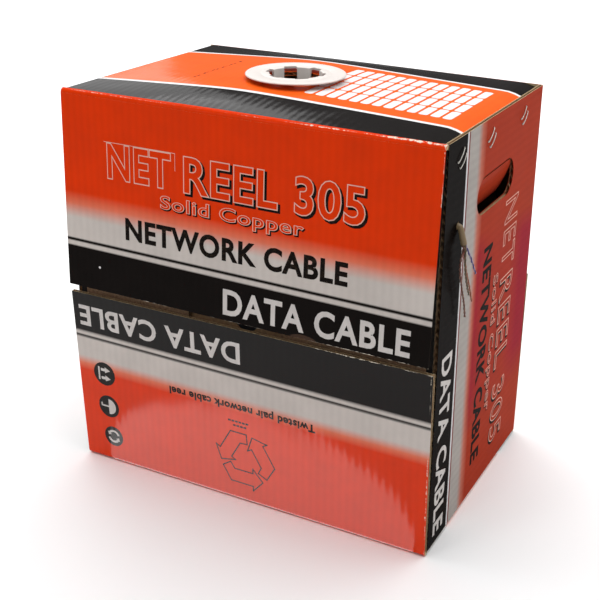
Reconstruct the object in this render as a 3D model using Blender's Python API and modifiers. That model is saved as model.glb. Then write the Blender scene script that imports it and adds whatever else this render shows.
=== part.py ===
"""A corrugated carton that holds a reel of network cable and pays it out through a ring in its top.

Metres, +Z up. The origin is the centre of the carton's bottom face. The tube of the carton runs front
to back (Y), so its flaps close the front (-Y) and the rear (+Y). The two tall side panels carry the hand
holes, and the reel turns on a level axle that runs front to back.
"""

import bmesh
import bpy
from math import atan2, cos, pi, radians, sin, sqrt
from mathutils import Matrix, Vector
from mathutils.geometry import interpolate_bezier

# The carton.
WIDTH = 0.355
DEPTH = 0.236
HEIGHT = 0.360
BOARD = 0.0035
GAP = 0.0003
HALF_WIDTH = WIDTH / 2
HALF_DEPTH = DEPTH / 2
FOLD = BOARD + GAP                    # from one layer of board to the same face of the next

# The top panel is pushed up around the ring.
CROWN_HEIGHT = 0.0088
CROWN_PEAK_X = -0.026
CROWN_ROUNDING = 0.030
CROWN_COLUMNS = 20
CROWN_ROWS = 12

# The outer flaps lean out a little, and the upper one is also pulled to the left.
UPPER_FLAP_LENGTH = 0.1803
UPPER_FLAP_LEAN = radians(1.3)
UPPER_FLAP_SKEW = -0.0034
LOWER_FLAP_LEFT_LENGTH = 0.1726
LOWER_FLAP_RIGHT_LENGTH = 0.1744
LOWER_FLAP_LEANS = {"front": radians(1.2), "rear": 0.0}
LOWER_FLAP_FLARE = 0.0025
FLAP_SIDE_INSET = 0.0010

# The inner flaps stop short of each other.
LEFT_INNER_FLAP_LENGTH = 0.1164
RIGHT_INNER_FLAP_LENGTH = 0.1385

# The glued and stitched joint along the top right edge.
JOINT_TAB_DEPTH = 0.040
STITCH_CENTRES_Y = {"front": -0.0871, "middle": -0.0202, "rear": 0.0633}
STITCH_HEIGHT = 0.3430
STITCH_RUN_Y = 0.0110
STITCH_RISE = 0.0086
STITCH_STEP_Y = 0.0048
STITCH_STEP_Z = -0.0056
STITCH_WIDTH = 0.0011

# The hand holes and the flaps that are pushed into them.
HAND_HOLE_WIDTH = 0.091
HAND_HOLE_HEIGHT = 0.033
HAND_HOLE_TOP = 0.313
HANDLE_FLAP_CLEARANCE = 0.0004
HANDLE_FLAP_PUSH = radians(20)

# The pay-out ring: a flange on six fingers that snap through the board.
RING_CENTRE = (-0.0064, -0.0127)
RING_RADIUS = 0.044
RING_THROAT_RADIUS = 0.0229
RING_WALL = 0.0016
RING_FLANGE_TOP = 0.3734
RING_FLANGE_THICKNESS = 0.0018
RING_FINGER_LENGTH = 0.020
RING_BARB = 0.0016
RING_BARB_TOP = 0.3630
RING_HOLE_RADIUS = 0.0250
RING_NOTCHES = 6
RING_NOTCH_WIDTH = 0.0118
RING_NOTCH_RADIUS = 0.0261
RING_FIRST_NOTCH = radians(11)

# The reel.
AXLE_HEIGHT = 0.180
AXLE_RADIUS = 0.012
FLANGE_RADIUS = 0.165
FLANGE_THICKNESS = 0.006
FLANGE_BORE_RADIUS = 0.0175
WINDING_RADIUS = 0.127
WINDING_HALF_WIDTH = 0.094
CORE_RADIUS = 0.050
CORE_WALL = 0.004
HUB_COLLAR_RADIUS = 0.026
HUB_COLLAR_THICKNESS = 0.003
HUB_BARREL_LENGTH = 0.012
HUB_RUNNING_GAP = 0.0004
SUPPORT_PAD_THICKNESS = 0.005
SUPPORT_PAD_HALF_WIDTH = 0.1695

# The cable's free end, which comes out of a hole in the right panel.
CABLE_DIAMETER = 0.0052
PAIR_DIAMETER = 0.0019
PAIR_SPREAD = 0.00105                 # from the cable's axis to each pair's, both ways
CABLE_HOLE_RADIUS = 0.0035
CABLE_EXIT = Vector((HALF_WIDTH - BOARD / 2, -0.0865, 0.2885))
CABLE_END = Vector((0.1832, -0.0860, 0.2740))
CABLE_TAIL_SPACING = 0.0065
PAIR_STRAIGHT = 0.003

TURNED_STEPS = 48
SMALL_TURNED_STEPS = 24
ARC_STEPS = 8


def clear_scene():
    for obj in list(bpy.data.objects):
        bpy.data.objects.remove(obj, do_unlink=True)


def new_collection(name):
    collection = bpy.data.collections.new(name)
    bpy.context.scene.collection.children.link(collection)
    return collection


clear_scene()
PARTS = new_collection("cable_spool_box")
CUTTERS = new_collection("cutters")


def material(name, colour, roughness, metallic=0.0):
    made = bpy.data.materials.new(name)
    made.use_nodes = True
    shader = made.node_tree.nodes["Principled BSDF"]
    shader.inputs["Base Color"].default_value = (*colour, 1)
    shader.inputs["Roughness"].default_value = roughness
    shader.inputs["Metallic"].default_value = metallic
    return made


def add(name, data, collection=PARTS, finish=None):
    obj = bpy.data.objects.new(name, data)
    collection.objects.link(obj)
    if finish:
        data.materials.append(finish)
    if collection is CUTTERS:
        obj.hide_render = True
        obj.display_type = "WIRE"
    return obj


def box(name, low, high, finish=None, collection=PARTS):
    """A box between two corners, with its origin at its centre."""
    low, high = Vector(low), Vector(high)
    form = bmesh.new()
    bmesh.ops.create_cube(form, size=1)
    bmesh.ops.scale(form, vec=high - low, verts=form.verts)
    mesh = bpy.data.meshes.new(name)
    form.to_mesh(mesh)
    form.free()
    obj = add(name, mesh, collection, finish)
    obj.location = (low + high) / 2
    return obj


def cylinder(name, radius, length, steps, finish=None, collection=PARTS):
    """A cylinder about its own Z axis, centred on its origin."""
    form = bmesh.new()
    bmesh.ops.create_cone(form, cap_ends=True, segments=steps, radius1=radius, radius2=radius, depth=length)
    mesh = bpy.data.meshes.new(name)
    form.to_mesh(mesh)
    form.free()
    mesh.shade_smooth()
    mesh.set_sharp_from_angle(angle=radians(40))
    return add(name, mesh, collection, finish)


def turned(name, profile, steps, finish):
    """A closed profile of (radius, height) points, running down its outer side, turned about Z."""
    mesh = bpy.data.meshes.new(name)
    edges = [(i, (i + 1) % len(profile)) for i in range(len(profile))]
    mesh.from_pydata([(radius, 0, height) for radius, height in profile], edges, [])
    obj = add(name, mesh, finish=finish)
    screw = obj.modifiers.new("turn", "SCREW")
    screw.steps = screw.render_steps = steps
    screw.use_merge_vertices = True
    screw.merge_threshold = 0.00001
    screw.use_smooth_shade = True
    return obj


def tube_profile(outer, inner, low, high):
    return [(outer, high), (outer, low), (inner, low), (inner, high)]


def outline(name, points, thickness, finish, collection=PARTS):
    """A flat outline in its own XY plane, thickened both ways along its Z axis, as a mesh."""
    curve = bpy.data.curves.new(name, "CURVE")
    curve.dimensions = "2D"
    curve.fill_mode = "BOTH"
    curve.extrude = thickness / 2
    spline = curve.splines.new("POLY")
    spline.points.add(len(points) - 1)
    for slot, (x, y) in zip(spline.points, points):
        slot.co = (x, y, 0, 1)
    spline.use_cyclic_u = True
    flat = add(name + "_outline", curve, collection)
    bpy.context.view_layer.update()
    mesh = bpy.data.meshes.new_from_object(flat.evaluated_get(bpy.context.evaluated_depsgraph_get()))
    mesh.name = name
    form = bmesh.new()
    form.from_mesh(mesh)
    bmesh.ops.remove_doubles(form, verts=form.verts, dist=0.00001)
    bmesh.ops.recalc_face_normals(form, faces=form.faces)
    form.to_mesh(mesh)
    form.free()
    obj = add(name, mesh, collection, finish)
    bpy.data.objects.remove(flat, do_unlink=True)
    return obj


def cut(obj, cutter):
    boolean = obj.modifiers.new("cut_" + cutter.name, "BOOLEAN")
    boolean.operation = "DIFFERENCE"
    boolean.object = cutter


def pivot(name, place, turn=(0, 0, 0)):
    """An empty on a joint's axis. What hangs on it moves with it."""
    empty = bpy.data.objects.new(name, None)
    PARTS.objects.link(empty)
    empty.location = place
    empty.rotation_euler = turn
    empty.empty_display_size = 0.02
    return empty


def smooth_route(points, spacing):
    """Evenly spaced points on a smooth curve through the route's own points."""
    points = [Vector(point) for point in points]
    tangents = []
    for i in range(len(points)):
        before, after = points[max(i - 1, 0)], points[min(i + 1, len(points) - 1)]
        tangents.append((after - before) / (2 if 0 < i < len(points) - 1 else 1))
    fine = [points[0]]
    for i in range(len(points) - 1):
        first = points[i] + tangents[i] / 3
        second = points[i + 1] - tangents[i + 1] / 3
        fine += interpolate_bezier(points[i], first, second, points[i + 1], 24)[1:]
    lengths = [0.0]
    for i in range(len(fine) - 1):
        lengths.append(lengths[-1] + (fine[i + 1] - fine[i]).length)
    count = max(3, round(lengths[-1] / spacing))
    route = []
    for step in range(count + 1):
        along = lengths[-1] * step / count
        i = min(sum(length < along for length in lengths[1:]), len(fine) - 2)
        share = (along - lengths[i]) / (lengths[i + 1] - lengths[i])
        route.append(fine[i].lerp(fine[i + 1], share))
    return route


def tube(name, route, diameter, finish):
    curve = bpy.data.curves.new(name, "CURVE")
    curve.dimensions = "3D"
    curve.bevel_depth = diameter / 2
    curve.bevel_resolution = 2
    curve.use_fill_caps = True
    spline = curve.splines.new("POLY")
    spline.points.add(len(route) - 1)
    for slot, place in zip(spline.points, route):
        slot.co = (*place, 1)
    return add(name, curve, finish=finish)


# ---- the carton's tube -------------------------------------------------------------------------------

def crown(x, y):
    """How far the top panel stands above its flat edges: a rounded ridge that dies away to all four."""
    reach = HALF_WIDTH + (CROWN_PEAK_X if x < CROWN_PEAK_X else -CROWN_PEAK_X)
    away = sqrt((x - CROWN_PEAK_X) ** 2 + CROWN_ROUNDING ** 2) - CROWN_ROUNDING
    furthest = sqrt(reach ** 2 + CROWN_ROUNDING ** 2) - CROWN_ROUNDING
    across = max(0.0, 1 - away / furthest)
    along = max(0.0, 1 - abs(y / HALF_DEPTH) ** 3)
    return CROWN_HEIGHT * across * along


def make_top_panel(finish):
    right_edge = HALF_WIDTH - FOLD
    form = bmesh.new()
    bmesh.ops.create_grid(form, x_segments=CROWN_COLUMNS, y_segments=CROWN_ROWS, size=1)
    for vert in form.verts:
        x = -HALF_WIDTH + (vert.co.x + 1) / 2 * (right_edge + HALF_WIDTH)
        y = vert.co.y * HALF_DEPTH
        vert.co = (x, y, HEIGHT + crown(x, y))
    mesh = bpy.data.meshes.new("top_panel")
    form.to_mesh(mesh)
    form.free()
    panel = add("top_panel", mesh, finish=finish)
    solid = panel.modifiers.new("board", "SOLIDIFY")
    solid.thickness = BOARD
    solid.offset = -1
    hole = cylinder("ring_hole", RING_HOLE_RADIUS, 0.06, TURNED_STEPS, collection=CUTTERS)
    hole.location = (*RING_CENTRE, HEIGHT)
    cut(panel, hole)


def rounded_slot(width, height):
    """The outline of a slot with half-round ends, its top edge on the X axis and its middle at x = 0."""
    radius = height / 2
    points = []
    for side, start in ((1, -pi / 2), (-1, pi / 2)):
        for step in range(ARC_STEPS + 1):
            angle = start + pi * step / ARC_STEPS
            points.append((side * (width / 2 - radius) + radius * cos(angle), radius * sin(angle) - radius))
    return points


def make_side_panel(name, side, top, finish):
    """A tall panel at +X (side 1) or -X (side -1), with its hand hole."""
    inner, outer = side * (HALF_WIDTH - BOARD), side * HALF_WIDTH
    half = HALF_DEPTH - FOLD
    panel = box(name, (min(inner, outer), -half, FOLD), (max(inner, outer), half, top), finish)
    slot = outline(name + "_slot", rounded_slot(HAND_HOLE_WIDTH, HAND_HOLE_HEIGHT), 0.02, None, CUTTERS)
    slot.location = ((inner + outer) / 2, 0, HAND_HOLE_TOP)
    slot.rotation_euler = (pi / 2, 0, pi / 2)
    cut(panel, slot)
    return panel


def make_handle_flap(name, side, finish):
    """The piece that the hand hole frees. It hangs from the hole's top edge, pushed in."""
    hinge = pivot(name + "_hinge", (side * (HALF_WIDTH - BOARD), 0, HAND_HOLE_TOP))
    hinge.rotation_euler = (0, side * HANDLE_FLAP_PUSH, 0)
    slack = 2 * HANDLE_FLAP_CLEARANCE
    points = rounded_slot(HAND_HOLE_WIDTH - slack, HAND_HOLE_HEIGHT - slack)
    flap = outline(name, points, BOARD, finish)
    flap.parent = hinge
    flap.location = (side * BOARD / 2, 0, -HANDLE_FLAP_CLEARANCE)
    flap.rotation_euler = (pi / 2, 0, pi / 2)


def make_joint(board, steel):
    """The tab that turns down inside the right panel, and the wire stitches that hold it there."""
    tab_outer = HALF_WIDTH - FOLD
    tab_top = HEIGHT - FOLD
    half = HALF_DEPTH - 2 * FOLD - GAP
    box("joint_tab", (tab_outer - BOARD, -half, tab_top - JOINT_TAB_DEPTH), (tab_outer, half, tab_top), board)
    for place, centre in STITCH_CENTRES_Y.items():
        for wire, share in (("upper", -0.5), ("lower", 0.5)):
            form = bmesh.new()
            bmesh.ops.create_cube(form, size=1)
            length = sqrt(STITCH_RUN_Y ** 2 + STITCH_RISE ** 2)
            bmesh.ops.scale(form, vec=(STITCH_WIDTH, length, STITCH_WIDTH), verts=form.verts)
            mesh = bpy.data.meshes.new(place + "_stitch_" + wire)
            form.to_mesh(mesh)
            form.free()
            stitch = add(mesh.name, mesh, finish=steel)
            stitch.location = (HALF_WIDTH + GAP + STITCH_WIDTH / 2, centre + share * STITCH_STEP_Y,
                               STITCH_HEIGHT + share * STITCH_STEP_Z)
            stitch.rotation_euler = (atan2(STITCH_RISE, STITCH_RUN_Y), 0, 0)


# ---- the flaps ---------------------------------------------------------------------------------------

def make_inner_flaps(end, side, finish):
    """Both inner flaps of one end: side -1 is the front, 1 the rear."""
    outer = side * (HALF_DEPTH - FOLD)
    inner = outer - side * BOARD
    near, far = min(outer, inner), max(outer, inner)
    start = HALF_WIDTH - FOLD
    top = HEIGHT - FOLD
    box(end + "_left_inner_flap", (-start, near, FOLD), (-start + LEFT_INNER_FLAP_LENGTH, far, top), finish)
    box(end + "_right_inner_flap", (start - RIGHT_INNER_FLAP_LENGTH, near, FOLD), (start, far, top), finish)


def make_outer_flaps(end, side, finish):
    """The upper and lower flaps of one end, each on its crease. Their outlines are drawn hanging down."""
    left, right = -HALF_WIDTH, HALF_WIDTH - FLAP_SIDE_INSET
    upper = [(left, -FOLD), (right, -FOLD), (right + UPPER_FLAP_SKEW, -UPPER_FLAP_LENGTH),
             (left + UPPER_FLAP_SKEW, -UPPER_FLAP_LENGTH)]
    lower = [(left, FOLD), (left - LOWER_FLAP_FLARE, LOWER_FLAP_LEFT_LENGTH),
             (right + FLAP_SIDE_INSET, LOWER_FLAP_RIGHT_LENGTH), (right, FOLD)]
    places = (("_upper_flap", upper, HEIGHT, UPPER_FLAP_LEAN), ("_lower_flap", lower, 0, -LOWER_FLAP_LEANS[end]))
    for suffix, points, height, lean in places:
        crease = pivot(end + suffix + "_crease", (0, side * HALF_DEPTH, height), (side * lean, 0, 0))
        flap = outline(end + suffix, points, BOARD, finish)
        flap.parent = crease
        flap.location = (0, -side * BOARD / 2, 0)
        flap.rotation_euler = (pi / 2, 0, 0)


# ---- the ring, the reel and the cable ----------------------------------------------------------------

def make_guide_ring(finish):
    under = RING_FLANGE_TOP - RING_FLANGE_THICKNESS
    wall = RING_THROAT_RADIUS + RING_WALL
    foot = RING_FLANGE_TOP - RING_FINGER_LENGTH
    profile = [
        (RING_RADIUS - 0.0008, RING_FLANGE_TOP),
        (RING_RADIUS, RING_FLANGE_TOP - 0.0008),
        (RING_RADIUS, under),
        (wall, under),
        (wall, RING_BARB_TOP),
        (wall + RING_BARB, RING_BARB_TOP - 0.0006),
        (wall, RING_BARB_TOP - 0.0036),
        (wall, foot),
        (RING_THROAT_RADIUS, foot),
        (RING_THROAT_RADIUS, RING_FLANGE_TOP - 0.001),
        (RING_THROAT_RADIUS + 0.001, RING_FLANGE_TOP),
    ]
    ring = turned("guide_ring", profile, TURNED_STEPS, finish)
    ring.location = (*RING_CENTRE, 0)
    form = bmesh.new()
    start = RING_THROAT_RADIUS - 0.003
    for notch in range(RING_NOTCHES):
        slot = bmesh.ops.create_cube(form, size=1)["verts"]
        bmesh.ops.scale(form, vec=(RING_NOTCH_RADIUS - start, RING_NOTCH_WIDTH, 0.04), verts=slot)
        bmesh.ops.translate(form, vec=((RING_NOTCH_RADIUS + start) / 2, 0, RING_BARB_TOP), verts=slot)
        turn = RING_FIRST_NOTCH + notch * 2 * pi / RING_NOTCHES
        bmesh.ops.rotate(form, matrix=Matrix.Rotation(turn, 3, "Z"), verts=slot)
    mesh = bpy.data.meshes.new("ring_notches")
    form.to_mesh(mesh)
    form.free()
    notches = add("ring_notches", mesh, CUTTERS)
    notches.location = ring.location
    cut(ring, notches)


def make_supports(board, axle_finish):
    """The two pads that carry the axle, just inside the inner flaps, and the axle."""
    outer = HALF_DEPTH - 2 * FOLD
    inner = outer - SUPPORT_PAD_THICKNESS
    low, high = FOLD, HEIGHT - FOLD - GAP
    for end, side in (("front", -1), ("rear", 1)):
        near, far = min(side * outer, side * inner), max(side * outer, side * inner)
        corner = (-SUPPORT_PAD_HALF_WIDTH, near, low)
        pad = box(end + "_support_pad", corner, (SUPPORT_PAD_HALF_WIDTH, far, high), board)
        hole = cylinder(end + "_pad_hole", AXLE_RADIUS + GAP, 0.02, SMALL_TURNED_STEPS, collection=CUTTERS)
        hole.location = (0, (near + far) / 2, AXLE_HEIGHT)
        hole.rotation_euler = (pi / 2, 0, 0)
        cut(pad, hole)
    axle = cylinder("spool_axle", AXLE_RADIUS, 2 * outer, SMALL_TURNED_STEPS, axle_finish)
    axle.location = (0, 0, AXLE_HEIGHT)
    axle.rotation_euler = (pi / 2, 0, 0)


def make_spool(board, tube_board, plastic, jacket):
    """The reel, drawn upright about Z and laid along Y on its axle. Its local +Z faces the front."""
    centre = pivot("spool_centre", (0, 0, AXLE_HEIGHT), (pi / 2, 0, 0))
    outer = WINDING_HALF_WIDTH + FLANGE_THICKNESS
    collar = outer + GAP + HUB_COLLAR_THICKNESS
    bore = AXLE_RADIUS + HUB_RUNNING_GAP
    barrel = FLANGE_BORE_RADIUS - GAP
    hub = [(HUB_COLLAR_RADIUS, collar), (HUB_COLLAR_RADIUS, outer + GAP), (barrel, outer + GAP),
           (barrel, outer - HUB_BARREL_LENGTH), (bore, outer - HUB_BARREL_LENGTH), (bore, collar)]
    flange = tube_profile(FLANGE_RADIUS, FLANGE_BORE_RADIUS, WINDING_HALF_WIDTH, outer)
    half = WINDING_HALF_WIDTH - GAP
    pieces = [
        turned("spool_core", tube_profile(CORE_RADIUS, CORE_RADIUS - CORE_WALL, -half, half),
               TURNED_STEPS, tube_board),
        turned("wound_cable", tube_profile(WINDING_RADIUS, CORE_RADIUS + GAP, -half, half),
               TURNED_STEPS, jacket),
    ]
    for end, turn in (("front", 0), ("rear", pi)):
        for name, profile, finish in (("_flange", flange, board), ("_hub", hub, plastic)):
            piece = turned("spool_" + end + name, profile, TURNED_STEPS, finish)
            piece.rotation_euler = (turn, 0, 0)
            pieces.append(piece)
    for piece in pieces:
        piece.parent = centre


def make_cable_tail(jacket):
    """The cable from where it leaves the winding, level with the top, to its stripped end."""
    clear = WINDING_RADIUS + CABLE_DIAMETER / 2 + GAP
    reach = Vector((CABLE_EXIT.x, CABLE_EXIT.z - AXLE_HEIGHT))
    share = clear / reach.length
    along = reach.normalized()
    tangent = (along * share + Vector((-along.y, along.x)) * sqrt(1 - share * share)) * clear
    start = Vector((tangent.x, CABLE_EXIT.y, tangent.y + AXLE_HEIGHT))
    mouth = CABLE_EXIT + (CABLE_EXIT - start).normalized() * BOARD
    route = [start, start.lerp(CABLE_EXIT, 0.35), start.lerp(CABLE_EXIT, 0.7), CABLE_EXIT, mouth, CABLE_END]
    route = smooth_route(route, CABLE_TAIL_SPACING)
    tube("cable_tail", route, CABLE_DIAMETER, jacket)
    return (route[-1] - route[-2]).normalized()


# For each pair: its place in the jacket (rear or front, outer or inner), and its route from there.
PAIR_ROUTES = {
    "twisted_pair_blue": ((1, 1), [(0.0028, 0.0005, -0.007), (0.0047, 0.0035, -0.015),
                                   (0.0055, 0.0114, -0.0276)]),
    "twisted_pair_green": ((-1, 1), [(0.0011, -0.0002, -0.013), (0.0021, -0.0006, -0.023),
                                     (0.0025, 0.0037, -0.035), (0.0025, 0.0093, -0.045)]),
    "twisted_pair_orange": ((1, -1), [(0.0012, 0.0022, -0.013), (0.0018, 0.0058, -0.025),
                                      (0.0020, 0.0135, -0.039), (0.0020, 0.0222, -0.056)]),
    "twisted_pair_brown": ((-1, -1), [(0.0004, -0.0028, -0.012), (0.0002, -0.0016, -0.024),
                                      (0.0002, 0.0040, -0.038), (0.0002, 0.0110, -0.053),
                                      (0.0002, 0.0154, -0.067)]),
}


def make_twisted_pairs(direction, finishes):
    """Four bared pairs that hang from the end of the jacket, each by its own free route."""
    outward = Vector((0, 1, 0)).cross(direction).normalized() * -PAIR_SPREAD
    rearward = direction.cross(outward).normalized() * -PAIR_SPREAD
    for name, ((rear, out), steps) in PAIR_ROUTES.items():
        start = CABLE_END + rear * rearward + out * outward + GAP * direction
        route = [start, start + PAIR_STRAIGHT * direction] + [start + Vector(step) for step in steps]
        tube(name, smooth_route(route, 2.4 * PAIR_DIAMETER), PAIR_DIAMETER, finishes[name])


def main():
    print_orange = material("printed_orange", (0.62, 0.05, 0.008), 0.35)
    print_black = material("printed_black", (0.012, 0.010, 0.009), 0.35)
    kraft = material("kraft_board", (0.32, 0.20, 0.11), 0.85)
    fibreboard = material("fibreboard", (0.36, 0.24, 0.14), 0.8)
    tube_board = material("tube_board", (0.42, 0.32, 0.21), 0.8)
    ring_white = material("ring_white", (0.82, 0.80, 0.77), 0.4)
    hub_black = material("hub_black", (0.02, 0.02, 0.02), 0.45)
    steel = material("stitch_steel", (0.55, 0.54, 0.52), 0.35, 1.0)
    jacket = material("cable_jacket", (0.50, 0.49, 0.44), 0.5)
    copper_pairs = {
        "twisted_pair_blue": material("pair_blue", (0.06, 0.05, 0.22), 0.45),
        "twisted_pair_green": material("pair_green", (0.10, 0.09, 0.04), 0.45),
        "twisted_pair_orange": material("pair_orange", (0.28, 0.07, 0.02), 0.45),
        "twisted_pair_brown": material("pair_brown", (0.12, 0.04, 0.02), 0.45),
    }

    box("bottom_panel", (-HALF_WIDTH, -HALF_DEPTH, 0), (HALF_WIDTH, HALF_DEPTH, BOARD), print_black)
    make_top_panel(print_orange)
    make_side_panel("left_panel", -1, HEIGHT - FOLD, print_orange)
    right = make_side_panel("right_panel", 1, HEIGHT, print_orange)
    cable_hole = cylinder("cable_hole", CABLE_HOLE_RADIUS, 0.02, SMALL_TURNED_STEPS, collection=CUTTERS)
    cable_hole.location = CABLE_EXIT
    cable_hole.rotation_euler = (0, pi / 2, 0)
    cut(right, cable_hole)
    make_joint(kraft, steel)
    for end, side in (("front", -1), ("rear", 1)):
        make_inner_flaps(end, side, kraft)
        make_outer_flaps(end, side, print_orange)
    make_handle_flap("left_handle_flap", -1, print_orange)
    make_handle_flap("right_handle_flap", 1, print_orange)
    make_guide_ring(ring_white)
    make_supports(kraft, hub_black)
    make_spool(fibreboard, tube_board, hub_black, jacket)
    direction = make_cable_tail(jacket)
    make_twisted_pairs(direction, copper_pairs)


main()
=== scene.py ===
"""Scene for the cable spool box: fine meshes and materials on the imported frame, in metres, +Z up."""

from math import ceil, cos, floor, pi, radians, sin, sqrt

import bmesh
import bpy
from mathutils import Matrix, Vector, noise
from mathutils.geometry import interpolate_bezier


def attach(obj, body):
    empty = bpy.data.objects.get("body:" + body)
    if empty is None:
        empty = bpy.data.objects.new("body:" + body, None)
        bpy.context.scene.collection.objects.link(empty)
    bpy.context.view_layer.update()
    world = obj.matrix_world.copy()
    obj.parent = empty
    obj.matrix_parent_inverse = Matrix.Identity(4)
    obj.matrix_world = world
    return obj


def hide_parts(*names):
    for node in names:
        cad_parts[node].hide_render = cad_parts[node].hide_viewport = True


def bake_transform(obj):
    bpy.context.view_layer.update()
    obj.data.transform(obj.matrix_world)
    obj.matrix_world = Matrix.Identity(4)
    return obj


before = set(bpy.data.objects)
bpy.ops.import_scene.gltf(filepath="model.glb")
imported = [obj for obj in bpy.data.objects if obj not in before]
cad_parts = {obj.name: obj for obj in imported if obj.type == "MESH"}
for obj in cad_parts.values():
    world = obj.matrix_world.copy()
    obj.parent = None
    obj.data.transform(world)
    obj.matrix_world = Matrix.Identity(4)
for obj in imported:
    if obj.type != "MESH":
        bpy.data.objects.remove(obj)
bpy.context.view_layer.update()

# The carton, as in the CAD.
HALF_WIDTH = 0.1775
HALF_DEPTH = 0.118
HEIGHT = 0.36
BOARD = 0.0035
GAP = 0.0003
FOLD = BOARD + GAP
HALF_TUBE = HALF_DEPTH - FOLD              # the tube's panels reach this far forward and back
CROWN_HEIGHT = 0.0088
CROWN_PEAK_X = -0.026
CROWN_ROUNDING = 0.03
UPPER_FLAP_LENGTH = 0.1803
UPPER_FLAP_LEAN = radians(1.3)
UPPER_FLAP_SKEW = -0.0034
LOWER_FLAP_LENGTHS = (0.1726, 0.1744)          # left, right
LOWER_FLAP_LEANS = {-1: radians(1.2), 1: 0.0}    # front, rear
LOWER_FLAP_FLARE = 0.0025
FLAP_SIDE_INSET = 0.001
INNER_FLAP_LENGTHS = {-1: 0.1164, 1: 0.1385}   # left, right
JOINT_TAB_DEPTH = 0.04
PAD_WIDTH = 0.339
PAD_FACE = HALF_DEPTH - 2 * FOLD           # how far out the pads and the axle reach
STITCH_CENTRES_Y = {"front": -0.0871, "middle": -0.0202, "rear": 0.0633}
STITCH_HEIGHT = 0.343
STITCH_STEP_Y = 0.0048
STITCH_STEP_Z = -0.0056
HAND_HOLE_WIDTH = 0.091
HAND_HOLE_HEIGHT = 0.033
HAND_HOLE_TOP = 0.313
HANDLE_FLAP_CLEARANCE = 0.0004
HANDLE_FLAP_PUSH = radians(20)
RING_CENTRE = Vector((-0.0064, -0.0127, 0.0))
RING_HOLE_RADIUS = 0.025
RING_FLANGE_TOP = 0.3734
AXLE_HEIGHT = 0.18
WINDING_RADIUS = 0.127
CABLE_DIAMETER = 0.0052
CABLE_HOLE_RADIUS = 0.0035
CABLE_EXIT = Vector((HALF_WIDTH - BOARD / 2, -0.0865, 0.2885))
CABLE_END = Vector((0.1832, -0.086, 0.274))
PAIR_DIAMETER = 0.0019
PAIR_SPREAD = 0.00105
PAIR_STRAIGHT = 0.003
PAIR_LAY = 0.0078
REEL_HALF = 0.094

ENDS = ((-1, "front"), (1, "rear"))

# The board's plies.
LINER = 0.0003
MEDIUM = 0.00022
FLUTE_PITCH = 0.0072
FLUTE_STEPS = 10


# ---- the camera ----

def make_camera():
    azimuth, elevation, roll = radians(25.46), radians(21.75), radians(1.39)
    back = Vector((sin(azimuth) * cos(elevation), -cos(azimuth) * cos(elevation), sin(elevation)))
    data = bpy.data.cameras.new("camera")
    data.sensor_width = 36
    data.lens = 36 * 1087.3 / 600
    data.shift_x = -0.1
    data.shift_y = -0.07
    data.clip_start = 0.05
    data.clip_end = 50
    camera = bpy.data.objects.new("camera", data)
    bpy.context.scene.collection.objects.link(camera)
    camera.rotation_mode = "QUATERNION"
    turn = (-back).to_track_quat("-Z", "Y")
    camera.rotation_quaternion = turn @ Matrix.Rotation(roll, 3, "Z").to_quaternion()
    camera.location = Vector((0.0533, 0, 0.2075)) + back * 0.9905
    bpy.context.scene.camera = camera


make_camera()


# ---- materials ----

def srgb(red, green, blue):
    """A colour given in 0-255 screen values, as the linear colour that the shaders take."""
    made = []
    for value in (red, green, blue):
        value /= 255
        made.append(value / 12.92 if value <= 0.04045 else ((value + 0.055) / 1.055) ** 2.4)
    return (*made, 1.0)


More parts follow.
